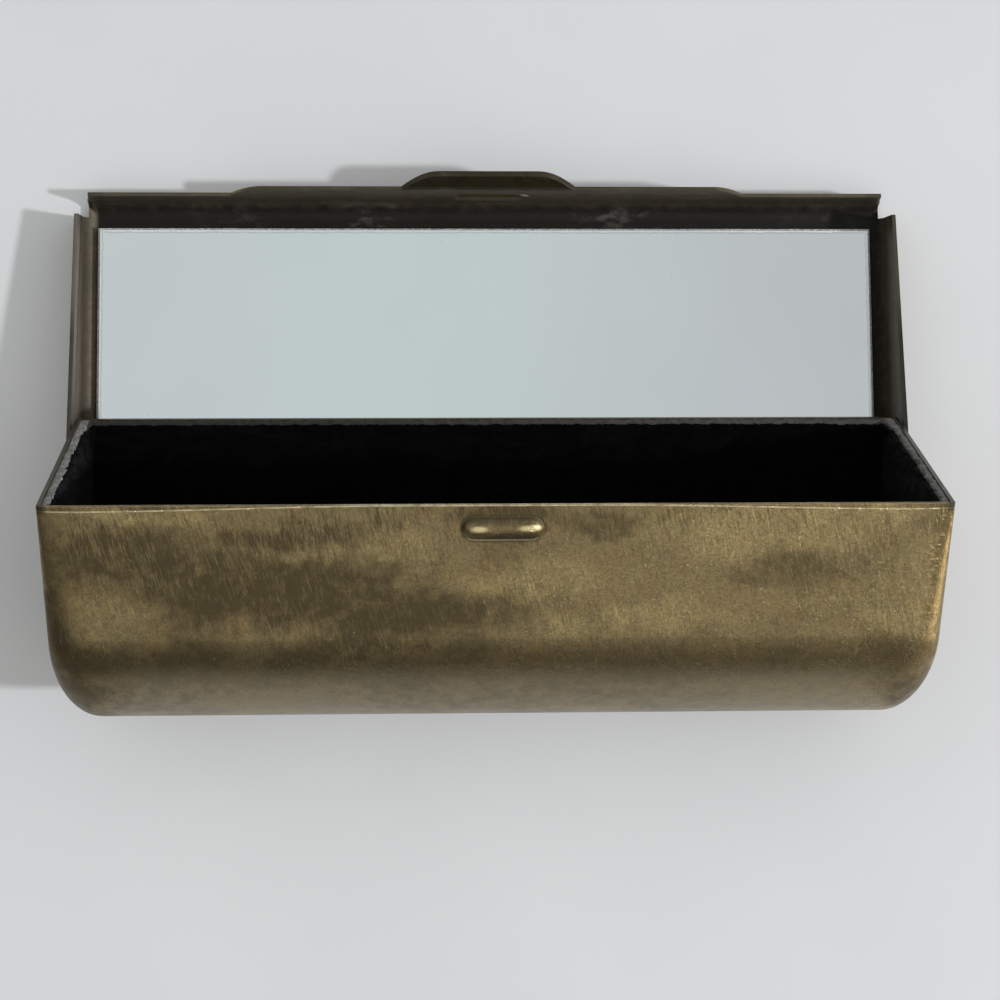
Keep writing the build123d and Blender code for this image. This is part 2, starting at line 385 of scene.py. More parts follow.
# %% Old brass, the shared graph
def old_brass(look, place, tones, wear, brown, rough=0.34, dents=0.10, edge=0.14,
              brushed=0.25, edge_wear=0.8):
    """Colour, roughness and normal of brass with tones (brown, satin, bright).

    wear and brown are extra shares from 0 to 1, brushed is how strongly steep strokes show.
    """
    skin, satin, bright = tones
    mottle = look.noise(place, 0.8, 6.0, 0.66, 0.3)
    grain = look.noise(place, 4.5, 3.0, 0.6)
    patchy = look.between(look.noise(place, 0.16, 3.0), 0.40, 0.62, 0.25, 1.0)
    lines = look.sum_of([scratches(look, place, *angle_and_size) for angle_and_size in (
        (17, 0.07, 4, 0.10),
        (4, 0.08, 2.2, 0.09),
        (-38, 0.06, 6, 0.04),
        (78, 0.06, 6, 0.02),
    )])
    lines = look.times(lines, patchy)
    worms = look.sum_of([hairlines(look, place, 1.1, 0.020), hairlines(look, place, 2.3, 0.035)])
    worms = look.times(worms, look.between(mottle, 0.35, 0.6, 0.2, 1.0))
    marks = {
        "cloud": look.noise(place, 0.07, 3.0, 0.5, 0.6),
        "mottle": mottle,
        "lines": lines,
        "worms": worms,
        "strokes": look.plus(stroke(look, place, 19, 0.09, 1.2), stroke(look, place, 5, 0.07, 0.8)),
    }
    skin_share, bright_share = skin_and_metal(look, marks, brown, wear, brushed)
    edge_mask, round_normal = look.edges(edge)
    bright_share = look.more(bright_share, edge_mask, edge_wear)

    warm = look.between(look.noise(place, 0.45, 4.0, 0.6), 0.46, 0.66, 0.0, 0.40)
    satin = look.mix(warm, satin, (1.12, 0.93, 0.86), "MULTIPLY")
    colour = look.mix(skin_share, satin, skin)
    colour = look.mix(bright_share, colour, bright)
    colour = look.paint(colour, specks(look, place, 0.36, 0.10, 0.30), 0.7, pale_speck)
    colour = look.mix(look.between(grain, 0.35, 0.7, 0.0, 0.45), colour, skin)

    roughness = look.plus(rough, look.times(skin_share, 0.10))
    roughness = look.minus(roughness, look.times(bright_share, 0.07))
    height = look.times(look.noise(place, 0.055, 1.0, 0.4), dents)
    for mark, rise in ((mottle, 0.020), (lines, -0.004), (worms, -0.006), (grain, 0.004)):
        height = look.plus(height, look.times(mark, rise))
    return colour, roughness, look.bump(height, normal=round_normal)


brown_skin = (0.104, 0.080, 0.043)
satin_brass = (0.310, 0.243, 0.127)
bright_brass = (0.590, 0.462, 0.222)
pale_speck = (0.66, 0.60, 0.48)
print("brass tones ready")

# %% [markdown]
# ## The base
# On the real base the brown lies thick in the left half, and hands have polished the corners and the strip
# under the rim. A belt low down is painted darker as a dark reflection, the table's reflection is painted
# grey below it, and highlights and shade are painted on the rim, the bead and the end rims. Those marks have
# places, so each is a soft egg-shaped blob in the upright frame of the base, broken up by the mottling.

# %% Soft patches
def blob(look, place, centre, size):
    """A soft patch: 1 at its centre, 0 at its edge, with a centre and half sizes in millimetres."""
    shifted = look.add("VectorMath", {0: place, 1: centre}, operation="SUBTRACT")
    scaled = look.add("VectorMath", {0: shifted, 1: size}, operation="DIVIDE")
    far = look.add("VectorMath", {0: scaled}, out=1, operation="LENGTH")
    return look.falls(far, 0.25, 1.0)


def blobs(look, place, spots):
    return look.sum_of([blob(look, place, centre, size) for centre, size in spots])


def shaken(look, place, scale, amount):
    """The place pushed about by noise, so that a patch gets a ragged outline."""
    noise_way = look.add("TexNoise", {"Vector": place, "Scale": scale, "Detail": 3.0}, out=1)
    centred = look.add("VectorMath", {0: noise_way, 1: (0.5, 0.5, 0.5)}, operation="SUBTRACT")
    push = look.add("VectorMath", {0: centred, "Scale": 2 * amount}, operation="SCALE")
    return look.add("VectorMath", {0: place, 1: push}, operation="ADD")


# %% Marks along the rim and round the bead: painted highlights and shade, and a brown band
bead_half_length, bead_half_width, bead_x, bead_z = 3.9, 1.25, 0.3, -2.4


def on_front(look, depth):
    """1 on the outside of the front wall."""
    return look.falls(depth, -12.4, -12.0)


def rim_highlight_and_band(look, across, depth, up):
    """Two masks near the rim: a painted highlight line where the edge turns in, which leaves the rim
    towards the corners, and the brown band above it.
    """
    from_middle = look.size(across)
    line_at = look.between(from_middle, 10, 40, -0.04, -0.54)
    off = look.minus(up, line_at)
    # A painted highlight along the rim, where its edge turns in
    line = look.falls(look.size(off), 0.03, 0.10)
    band = look.between(off, 0.05, 0.12)
    front_only = on_front(look, depth)
    along_only = look.add("CombineXYZ", {0: across})
    broken = look.between(look.noise(along_only, 0.7, 3.0), 0.36, 0.56, 0.25, 1.0)
    line = look.times(look.times(line, broken), front_only)
    return line, look.times(band, front_only)


def bead_marks(look, across, depth, up):
    """Three masks at the bead: its crown, polished and painted a little brighter as a highlight,
    painted shade round it, strongest above it and under its lower side, and a painted highlight
    on the lip under it.
    """
    along = look.size(look.minus(across, bead_x))
    past_end = look.larger(look.minus(along, bead_half_length - bead_half_width), 0.0)
    off = look.add("CombineXYZ", {0: past_end, 1: look.minus(up, bead_z)})
    far = look.add("VectorMath", {0: off}, out=1, operation="LENGTH")
    crown = look.falls(far, 0.15, 0.75)
    # Painted shade round the bead, strongest above it and under its lower side
    bead_shade = look.times(look.between(far, 0.75, 1.10), look.falls(far, 1.22, 1.55))
    above = look.between(up, bead_z - 0.6, bead_z + 0.5, 0.35, 1.0)
    underside_shade = look.falls(up, bead_z - 0.75, bead_z - 0.35)
    underside_shade = look.times(underside_shade, look.between(far, 0.85, 0.98, 0.75, 0.0))
    bead_shade = look.larger(look.times(bead_shade, above), underside_shade)
    # A painted highlight on the lip under the bead
    lip_highlight = look.falls(look.size(look.minus(far, 1.06)), 0.03, 0.10)
    lip_highlight = look.times(lip_highlight, look.falls(up, bead_z - 1.0, bead_z - 0.7))
    front_only = on_front(look, depth)
    return [look.times(mask, front_only) for mask in (crown, bead_shade, lip_highlight)]


# %% Where the base is brown, polished and painted with highlights: centre and half sizes of each patch
front = -bottom_radius
brown_spots = (
    ((-24, front, -8.0), (20, 8, 5.2)),
    ((-35.5, front, -4.8), (9, 8, 3.2)),
    ((-19, front, -3.2), (12, 8, 2.2)),
    ((-8, front, -10.6), (22, 8, 3.6)),
    ((0.5, front, -0.8), (9, 8, 2.0)),
    ((12.5, front, -1.8), (9, 8, 1.8)),
    ((27.0, front, -6.8), (9, 8, 2.8)),
    ((42, -9.5, -20.5), (7, 7, 5.5)),
    ((-43, front, -12.5), (4, 8, 7)),
    ((-42, -9.5, -20.5), (7, 7, 5.5)),
)
polished_spots = (
    ((-37.0, front, -10.8), (6, 8, 3.6)),
    ((-33, front, -0.8), (9, 8, 1.8)),
    ((-13, front, -5.0), (11, 8, 2.6)),
    ((25, front, -2.6), (17, 8, 3.6)),
    ((4, front, -7.4), (11, 8, 3.0)),
    ((12, front, -11.4), (16, 8, 2.2)),
    ((37.5, front, -10.5), (6, 8, 3.4)),
    ((31, front, -0.8), (13, 8, 2.2)),
)
# Painted highlights on the bead's crown
bead_highlight_spots = (
    ((-1.9, front - 0.5, -2.3), (1.0, 2, 0.42)),
    ((3.0, front - 0.5, -2.2), (1.5, 2, 0.42)),
)
print(len(brown_spots), "brown patches,", len(polished_spots), "polished,", len(bead_highlight_spots), "painted_glint")

# %% A belt of painted dark reflection, and tones of the marks and of painted light
belt_at = -15.4
# Tones of painted light: highlights on the rim line, the bead and its lower lip, shade round the bead and on
# the rims of the ends and back, and the table's reflection painted grey low down
rim_highlight_tone, glint, bead_lip_highlight = (0.80, 0.69, 0.46), (0.92, 0.80, 0.50), (0.85, 0.74, 0.50)
bead_shade_dark, end_rim_shade, table_reflection_grey = (0.045, 0.035, 0.022), (0.066, 0.062, 0.052), (0.285, 0.248, 0.180)
print("brown belt", -belt_at, "mm below the rim")

# %% Brass of the base
def brown_of_base(look, place, loose, bead_shade, band):
    """Extra brown at each point, a belt of painted dark reflection and painted shade round the bead."""
    calm_up = look.axes(shaken(look, place, 0.10, 1.2))[2]
    # A belt low down, painted browner and darker as a dark reflection
    off_belt = look.size(look.minus(calm_up, belt_at))
    belt = look.between(off_belt, 0.4, 2.5, 0.58, 0.0)
    brown = look.plus(look.times(blobs(look, loose, brown_spots), 0.74), belt, clamp=True)
    brown = look.more(brown, band, 0.45)
    return look.more(brown, bead_shade, 0.8)


def wear_of_base(look, place, loose, across, crown, painted_glint):
    """How much bare metal the base has at each point, with painted highlights on the bead."""
    ragged = look.noise(place, 0.25, 3.0)
    streaks = look.noise(drawn_out(look, place, 14, 0.2, 2.0), 1.0, 3.0, 0.6)
    polished = blobs(look, loose, polished_spots)
    wear = look.times(polished, look.between(ragged, 0.3, 0.65, 0.15, 0.5))
    wear = look.times(wear, look.between(streaks, 0.36, 0.62, 0.35, 1.5))
    wear = look.plus(wear, look.between(across, -10, 30, 0.0, 0.10), clamp=True)
    # The crown painted a little brighter as its highlight, and two painted highlights on the bead
    wear = look.more(wear, crown, 0.25)
    return look.more(wear, painted_glint, 0.9)


def brass_of_base():
    look = Look("base_brass_worn")
    place = look.place(stand_up)
    across, depth, up = look.axes(place)
    loose = shaken(look, place, 0.22, 3.5)
    line, band = rim_highlight_and_band(look, across, depth, up)
    crown, bead_shade, lip_highlight = bead_marks(look, across, depth, up)
    painted_glint = blobs(look, place, bead_highlight_spots)
    brown = brown_of_base(look, place, loose, bead_shade, band)
    wear = wear_of_base(look, place, loose, across, crown, painted_glint)
    patches = look.between(look.noise(place, 0.13, 2.0), 0.36, 0.60, 0.35, 1.0)
    brushed = look.times(look.between(up, -8.5, -0.8, 0.28, 0.90), patches)
    tones = (brown_skin, satin_brass, bright_brass)
    colour, roughness, normal = old_brass(look, place, tones, wear, brown, brushed=brushed)

    # Painted shade on the top millimetre of the end walls and the back wall
    at_ends = look.between(look.size(across), 41.9, 42.5)
    at_back = look.between(depth, 11.6, 12.2)
    end_rim = look.times(look.larger(at_ends, at_back), look.between(up, -1.2, -0.3))
    # The table's reflection, painted grey low on the rounded bottom away from the ends
    low = look.times(look.falls(up, -18.6, -15.9), look.falls(look.size(across), 33, 40))
    for mask, share, tone in (
        # painted highlight along the rim
        (line, 0.85, rim_highlight_tone),
        # painted highlights on the bead, painted shade round it, a painted highlight on its lower lip
        (painted_glint, 0.55, glint),
        (bead_shade, 0.55, bead_shade_dark),
        (lip_highlight, 0.7, bead_lip_highlight),
        # painted shade on the rims of the ends and back
        (end_rim, 0.86, end_rim_shade),
        # the table's reflection, painted grey
        (low, 0.45, table_reflection_grey),
    ):
        colour = look.paint(colour, mask, share, tone)
    corner = look.times(look.between(across, 40.6, 41.8), look.between(up, -16, -12))
    shine = look.plus(look.times(crown, 0.12), look.times(line, 0.10))
    shine = look.plus(shine, look.times(corner, 0.12))
    roughness = look.minus(roughness, shine)
    return look.shade(Base_Color=colour, Metallic=1.0, Roughness=roughness, Normal=normal)


dress(["base_shell"], brass_of_base())

# %% [markdown]
# ## The lid
# Inside, the lid was never rubbed, so its skin is dark and even, with faint lines from the rollers that
# folded it. Shade is painted near black in the bend, on the strip beside the mirror and above the tab's
# crease; the left end's inner face is painted lighter where the window lights it, and the dimple and the
# side lips get painted highlights and shade. Outside it is as worn as the base. The sheet is one piece, so
# one material tells the two sides apart by how deep a point lies inside the lid's rounded tray.

# %% Which side of the lid's sheet
lid_low, lid_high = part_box("lid_shell")
lid_half = 1000 * (lid_high.x - lid_low.x) / 2
lid_bend, lid_sheet = 2.0, 0.4
lid_back, lid_front = 0.3 + hinge.y, 27.4 + hinge.y
flange_low, flange_high = 5.8, 9.1
print("lid from", round(lid_back, 2), "to", round(lid_front, 2), "mm, half width", round(lid_half, 2))


def outside_of_lid(look, across, depth, up):
    """1 on the outer faces of the folded sheet, 0 on its inner faces."""
    middle, reach = (lid_front + lid_back) / 2, (lid_front - lid_back) / 2
    past_end = look.larger(look.minus(look.size(across), lid_half - lid_bend), 0.0)
    from_middle = look.size(look.minus(depth, middle))
    past_side = look.larger(look.minus(from_middle, reach - lid_bend), 0.0)
    past_floor = look.larger(look.minus(lid_bend, up), 0.0)
    corner = look.add("CombineXYZ", {0: past_end, 1: past_side, 2: past_floor})
    far = look.add("VectorMath", {0: corner}, out=1, operation="LENGTH")
    return look.between(far, lid_bend - 0.6 * lid_sheet, lid_bend - 0.4 * lid_sheet)


# %% Marks on the lid
def lip_light_and_crease_shade(look, across, depth, up):
    """Two masks on the side flanges, whose free edge rises towards the hinge: a painted highlight
    standing for a lip that turns out, and painted shade in the crease under it.
    """
    ends = {"From Min": lid_front - 2.6, "From Max": lid_back, "To Min": flange_low, "To Max": flange_high}
    below = look.minus(look.add("MapRange", {"Value": depth, **ends}), up)
    at_ends = look.between(look.size(across), 43.0, 43.25)
    at_ends = look.times(at_ends, look.between(across, -1, 1, 1.0, 0.10))
    # A painted highlight on the lip, and painted shade in the crease under it
    lip_highlight = look.times(look.falls(below, 1.7, 2.0), at_ends)
    off = look.size(look.minus(below, 2.2))
    return lip_highlight, look.times(look.falls(off, 0.20, 0.60), at_ends)


def smudges(look, place, across, up):
    """Faint grey finger marks and old glue on the flange, fainter towards its ends."""
    field = look.noise(look.turned(place, stretch=(0.5, 1, 1)), 0.7, 4.0, 0.6, 0.3)
    where = look.between(look.noise(place, 0.09, 2.0), 0.46, 0.60)
    mark = look.times(look.between(field, 0.48, 0.68), where)
    mark = look.times(mark, look.between(up, 1.2, 2.6, 0.22, 0.12))
    at_end = look.between(look.size(across), 22.0, 32.0)
    return look.times(mark, look.between(at_end, 0.0, 1.0, 0.85, 0.30))


def edge_marks(look, across, depth, up, facing_up):
    """Three masks: edges cut level, the front flange's ends, and the right flange's outer edge."""
    cut_edge = look.times(look.between(facing_up, 0.6, 0.9), look.between(up, 3.8, 4.2))
    near_end = look.between(look.size(across), 40.6, 41.2)
    front_end = look.times(near_end, look.between(depth, lid_front - 1.3, lid_front - 0.9))
    right_edge = look.times(look.between(across, 43.1, 43.35), look.between(up, 4.4, 5.0))
    return cut_edge, front_end, right_edge


# %% Tones of the lid's inner faces, the left end painted lighter as lit, and of its marks and painted light
inner_skin, lit_left_skin = (0.080, 0.069, 0.049), (0.125, 0.105, 0.080)
inner_satin, lit_left_satin = (0.150, 0.130, 0.094), (0.205, 0.176, 0.136)
inner_bright, outer_bright = (0.26, 0.235, 0.18), (0.36, 0.31, 0.20)
cut_brown, lip_highlight_grey, crease_shade_dark = (0.070, 0.064, 0.048), (0.230, 0.210, 0.175), (0.030, 0.028, 0.024)
dimple_glint, dimple_shade_dark = (0.85, 0.80, 0.68), (0.012, 0.011, 0.010)
front_end_dark, right_edge_dark = (0.060, 0.055, 0.042), (0.050, 0.047, 0.034)
bend_shade_dark, smudge_grey = (0.012, 0.011, 0.009), (0.33, 0.32, 0.29)
# Places of a painted glint at the right end of the dimple and painted shade at its left end
glint_at, dimple_shade_at = (3.75, lid_front - 0.2, 4.8), (-2.75, lid_front - 0.2, 4.8)
print("dimple rubbed at", glint_at, "dirty at", dimple_shade_at)

# %% Brass of the lid
def brass_of_lid():
    look = Look("lid_brass_dark")
    place = look.place()
    across, depth, up = look.axes(place)
    outside = outside_of_lid(look, across, depth, up)
    # The inner face of the left end is painted lighter, as lit by the window
    lit_left_end = look.falls(across, -42.6, -41.8)
    roller = look.noise(look.turned(place, stretch=(0.02, 2.2, 2.2)), 1.0, 3.0)
    inner_brown = look.between(roller, 0.35, 0.65, 0.30, 0.70)
    brown = look.mix(outside, inner_brown, (0.12, 0.12, 0.12))
    skin = look.mix(outside, look.mix(lit_left_end, inner_skin, lit_left_skin), brown_skin)
    satin = look.mix(outside, look.mix(lit_left_end, inner_satin, lit_left_satin), satin_brass)
    tones = (skin, satin, look.mix(outside, inner_bright, outer_bright))
    colour, roughness, normal = old_brass(look, place, tones, look.times(outside, 0.14), brown,
                                          rough=0.40, dents=0.05, edge=0.12, brushed=0.10, edge_wear=0.35)

    # Painted shade, near black, in the bend and on the strip beside the mirror, faint at the left end
    loose_up = look.axes(shaken(look, place, 0.8, 0.5))[2]
    inside = look.times(look.minus(1.0, outside), look.minus(1.0, lit_left_end))
    bend_shade = look.times(look.falls(loose_up, 0.6, 1.8), inside)
    bend_shade = look.times(bend_shade, look.between(across, -42.3, -41.9, 0.25, 1.0))
    # Painted shade above the height of the tab's crease, where the tab bends out
    tab_shade = look.between(up, 6.9, 7.7, 0.0, 0.62)
    lip_highlight, crease_shade = lip_light_and_crease_shade(look, across, depth, up)
    _, facing_back, facing_up = look.axes(look.add("TexCoord", {}, out=1))
    faces_in = look.falls(facing_back, -0.1, 0.3)
    cut_edge, front_end, right_edge = edge_marks(look, across, depth, up, facing_up)
    # A painted glint and painted shade at the two ends of the dimple, seen from inside
    painted_glint = blob(look, place, glint_at, (0.8, 2, 1.0))
    dimple_shade = blob(look, place, dimple_shade_at, (0.9, 2, 1.0))
    for mask, share, tone in (
        (cut_edge, 0.7, cut_brown),
        # painted highlight on the lip and painted shade in its crease
        (lip_highlight, 0.42, lip_highlight_grey),
        (crease_shade, 0.7, crease_shade_dark),
        (painted_glint, look.times(faces_in, 0.9), dimple_glint),
        (dimple_shade, look.times(faces_in, 0.8), dimple_shade_dark),
        (front_end, 0.65, front_end_dark),
        (right_edge, 0.6, right_edge_dark),
    ):
        colour = look.paint(colour, mask, share, tone)
    colour = look.mix(look.larger(look.times(bend_shade, 0.97), tab_shade), colour, bend_shade_dark)
    colour = look.mix(smudges(look, place, across, up), colour, smudge_grey)
    roughness = look.plus(roughness, look.times(bend_shade, 0.12))
    metal = look.between(outside, 0.0, 1.0, 0.5, 1.0)
    return look.shade(Base_Color=colour, Metallic=metal, Roughness=roughness,
                      Specular_IOR_Level=0.3, Normal=normal)


dress(["lid_shell"], brass_of_lid())

# %% [markdown]
# ## Hinge leaves and pin
# The hinge is plain strip, rolled into knuckles round a drawn wire. It gets the same brass with less brown,
# since the knuckles rub each time the lid moves. The wire is steel gone dull.

# %% Hinge
def brass_of_hinge():
    look = Look("hinge_brass_dull")
    place = look.place()
    tones = ((0.085, 0.070, 0.045), (0.245, 0.198, 0.112), (0.47, 0.38, 0.20))
    colour, roughness, normal = old_brass(look, place, tones, 0.08, 0.35, rough=0.38, dents=0.0, edge=0.1)
    return look.shade(Base_Color=colour, Metallic=1.0, Roughness=roughness, Normal=normal)


def wire_of_pin():
    look = Look("pin_steel")
    place = look.place()
    drawn = look.noise(look.turned(place, stretch=(0.3, 12, 12)), 1.0, 3.0)
    rust = look.between(look.noise(place, 0.8, 5.0), 0.5, 0.7)
    colour = look.mix(drawn, (0.34, 0.33, 0.31), (0.47, 0.46, 0.43))
    colour = look.mix(rust, colour, (0.16, 0.10, 0.06))
    normal = look.bump(look.times(drawn, 0.01))
    roughness = look.between(rust, 0.0, 1.0, 0.32, 0.6)
    return look.shade(Base_Color=colour, Metallic=1.0, Roughness=roughness, Normal=normal)


dress(["base_hinge_leaf", "lid_hinge_leaf"], brass_of_hinge())
dress(["hinge_pin"], wire_of_pin())

# %% [markdown]
# ## The mirror
# The mirror is plate glass silvered behind. Clear glass needs many bounces of light and still leaves the
# silver's edge to chance, so the plate is painted as what one sees: a bright, nearly smooth metal on its
# face, and ground glass on the bevel and in a fine band beside it. The face's own normal tells the bevel
# apart. Age shows as freckles, dust and a few short scratches.

# %% Edge of the mirror plate
ground_width, inner_line_at = 0.39, 0.50
silver_tone, silver_bloom = (0.915, 0.930, 0.930), (0.935, 0.945, 0.950)
ground_dark, ground_pale, band_pale = (0.42, 0.44, 0.44), (0.92, 0.94, 0.93), (0.86, 0.83, 0.84)
print("ground band", ground_width, "mm wide")


def from_edge(look, place, low, high):
    """Millimetres from a point on the plate to its nearest long or short edge."""
    across, depth, _ = look.axes(place)
    to_side = look.minus(500 * (high.x - low.x), look.size(across))
    to_front = look.minus(1000 * high.y, depth)
    return look.math("MINIMUM", to_side, to_front)


# %% Mirror plate and silver
def mirror_plate():
    look = Look("mirror_plate_aged")
    place = look.place()
    chipped = look.between(look.noise(place, 1.1, 4.0, 0.7), 0.3, 0.7, -0.06, 0.06)
    edge = look.plus(from_edge(look, place, *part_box("mirror_glass")), chipped)
    ground_band = look.falls(edge, ground_width - 0.05, ground_width + 0.05)
    off_line = look.size(look.minus(edge, inner_line_at))
    inner_line = look.between(off_line, 0.02, 0.11, 0.32, 0.0)
    face = look.between(look.axes(look.add("TexCoord", {}, out=1))[2], 0.97, 0.999)
    smear = look.noise(look.turned(place, (0, 0, 20), (0.25, 0.9, 1)), 0.5, 3.0)
    dust = look.sum_of([specks(look, place, 0.35, 0.10, 0.35), specks(look, place, 0.9, 0.05, 0.25)])
    nicks = scratches(look, look.turned(place, (90, 0, 0)), 40, 0.05, 1.5, -0.04)
    marks = look.more(look.times(dust, 0.6), nicks, 0.5)
    chips = look.between(look.noise(place, 3.5, 4.0, 0.7), 0.36, 0.62)

    bloom = look.between(look.noise(place, 0.05, 2.0), 0.35, 0.65)
    silver = look.mix(bloom, silver_tone, silver_bloom)
    silver = look.paint(silver, dust, 0.35, (0.40, 0.40, 0.39))
    silver = look.paint(silver, ground_band, 0.75, band_pale)
    silver = look.mix(inner_line, silver, (0.30, 0.31, 0.33))
    colour = look.mix(face, look.mix(chips, ground_dark, ground_pale), silver)
    metallic = look.minus(look.between(face, 0.0, 1.0, 0.35, 1.0), look.times(ground_band, 0.40))
    polish = look.plus(look.between(smear, 0.4, 0.8, 0.008, 0.022), look.times(marks, 0.3))
    polish = look.plus(polish, look.times(ground_band, 0.25))
    roughness = look.add("Mix", {0: face, 2: 0.30, 3: polish}, data_type="FLOAT")
    height = look.times(look.times(chips, look.minus(1.0, face)), 0.05)
    return look.shade(Base_Color=colour, Metallic=metallic, Roughness=roughness, Normal=look.bump(height))


def silver_coat():
    look = Look("mirror_silver_coat")
    place = look.place()
    where = look.noise(place, 0.12, 3.0)
    age = look.times(specks(look, place, 0.55, 0.16, 0.8), look.between(where, 0.45, 0.6))
    bloom = look.noise(place, 0.05, 2.0)
    colour = look.mix(look.between(bloom, 0.35, 0.65), (0.90, 0.91, 0.90), (0.94, 0.945, 0.95))
    colour = look.paint(colour, age, 0.5, (0.42, 0.40, 0.38))
    roughness = look.plus(0.05, look.times(age, 0.25))
    return look.shade(Base_Color=colour, Metallic=1.0, Roughness=roughness)


dress(["mirror_glass"], mirror_plate())
dress(["mirror_silver"], silver_coat())


# %% Glue behind the mirror
def dried_glue():
    look = Look("glue_dried")
    place = look.place()
    lumps = look.noise(place, 0.9, 4.0)
    colour = look.mix(lumps, (0.20, 0.165, 0.115), (0.36, 0.32, 0.25))
    normal = look.bump(look.times(lumps, 0.08))
    return look.shade(Base_Color=colour, Roughness=0.34, Normal=normal)


dress(["mirror_glue"], dried_glue())

# %% [markdown]
# ## Cutting the lining
# The lining is black velvet on a soft grey backing, cut with scissors and glued in as a long U and two end
# pieces. A solid can't look cut, so each layer is lofted from closed loops of points, and those loops get
# pushed about: softly over the whole face, as glued cloth lies, and finely along the rim, where it frays.

# %% Pieces of cloth from points, and loops lofted into one skin
scale = 0.001


def cloth_mesh(name, points, faces, material):
    """One smooth piece from points in upright millimetres, its faces turned outward."""
    mesh = bpy.data.meshes.new(name)
    mesh.from_pydata([scale * (lay_down @ Vector(p)) for p in points], [], faces)
    mesh.validate()
    mesh.shade_smooth()
    mesh.materials.append(material)
    piece = into_scene(name, mesh)
    work = bmesh.new()
    work.from_mesh(mesh)
    bmesh.ops.recalc_face_normals(work, faces=work.faces)
    work.to_mesh(mesh)
    work.free()
    return piece


def loft(name, loops, body, material):
    """Joins loops of equally many points into one closed piece that rides on a body."""
    count, size = len(loops), len(loops[0])
    faces = []
    for i in range(count - 1):
        for j in range(size):
            k = (j + 1) % size
            faces.append((i * size + j, i * size + k, (i + 1) * size + k, (i + 1) * size + j))
    faces.append(tuple(range(size - 1, -1, -1)))
    faces.append(tuple(range((count - 1) * size, count * size)))
    piece = cloth_mesh(name, [p for loop in loops for p in loop], faces, material)
    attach(piece, body)
    print(name, len(piece.data.vertices), "points,", len(piece.data.polygons), "faces")
    return piece


# %% [markdown]
# The trough narrows towards its ends on a quarter ellipse. These two functions repeat that form, so the
# cloth lies on the metal.

# %% The form that the lining lies on
end_round_length, least_round = 3.9, 0.05
round_at_rim, round_at_wall, round_at_bottom = 0.3, 1.6, 5.5
glue_gap, backing_thickness, velvet_thickness = 0.05, 0.55, 0.3
backing_at = 0.4 + glue_gap
velvet_at = backing_at + backing_thickness + glue_gap
seam = 41.6


def section(x, inset, end_inset):
    """Half widths at the rim and where the bottom starts, and the bottom's depth, at one place."""
    straight = case_length / 2 - end_round_length
    share = min(1.0, max(0.0, (abs(x) - straight) / (case_length / 2 - end_inset - straight)))
    drop = 1 - math.sqrt(max(0.0, 1 - share * share))
    half = bottom_radius - inset
    turn = [drop * max(least_round, r - inset) for r in (round_at_rim, round_at_wall, round_at_bottom)]
    return half - turn[0], half - turn[1], bottom_radius - inset - turn[2]


def u_line(x, inset, end_inset, back_top, front_top, count):
    """Points down the back wall, round the bottom and up the front wall."""
    at_rim, at_wall, down = section(x, inset, end_inset)
    wall_steps = int(count * 0.2)
    round_steps = count - 2 * wall_steps
    line = []
    for i in range(wall_steps):
        z = back_top + (-wall_height - back_top) * i / wall_steps
        line.append((x, at_rim + (at_wall - at_rim) * -z / wall_height, z))
    for i in range(round_steps):
        a = math.pi * i / (round_steps - 1)
        line.append((x, at_wall * math.cos(a), -wall_height - down * math.sin(a)))
    for i in range(1, wall_steps + 1):
        z = -wall_height + (front_top + wall_height) * i / wall_steps
        line.append((x, -(at_rim + (at_wall - at_rim) * -z / wall_height), z))
    return line


def soft(point, size, amount, seed):
    """Smooth random push at a place, for lumps about size millimetres across."""
    return amount * noise.noise(Vector(point) / size + Vector((seed, 0, 0)))


print("lining seam at", seam, "mm, section there", [round(v, 2) for v in section(seam, velvet_at, velvet_at)])

# %% [markdown]
# Across the rim each layer has a cut face of its own. The backing's is what shows: wide, soft and uneven,
# leaning in over the velvet, and a little loose at the right end of the back wall.

# %% The cut face and the loose place
cut_steps, cut_crown, tuft_depth = 6, 0.07, 0.45
loose_at, loose_reach, loose_depth, loose_height = 38.5, 3.0, 2.5, 0.45


def cut_face(a, b, along, lane, fray, seed):
    """Points across the cut from a to b, crowned a little and frayed."""
    points = []
    for step in range(1, cut_steps):
        s = step / cut_steps
        crown = cut_crown * math.sin(math.pi * s) + soft((along, 20 * s, lane), 0.3, fray * 0.8, seed)
        x, y, z = (start + (end - start) * s for start, end in zip(a, b))
        points.append((x, y, z + crown))
    return points


print("each cut has", cut_steps, "strips; the cloth is loose at", loose_at, "mm")

# %% The long U pieces
stations, points_per_line = 380, 70


def push_in(line, amount_at):
    """Moves each point of a U line towards the inside of the trough."""
    moved = []
    for i, (x, y, z) in enumerate(line):
        before, after = line[max(i - 1, 0)], line[min(i + 1, len(line) - 1)]
        dy, dz = after[1] - before[1], after[2] - before[2]
        size = math.hypot(dy, dz)
        amount = amount_at((x, y, z))
        moved.append((x, y + dz / size * amount, z - dy / size * amount))
    return moved


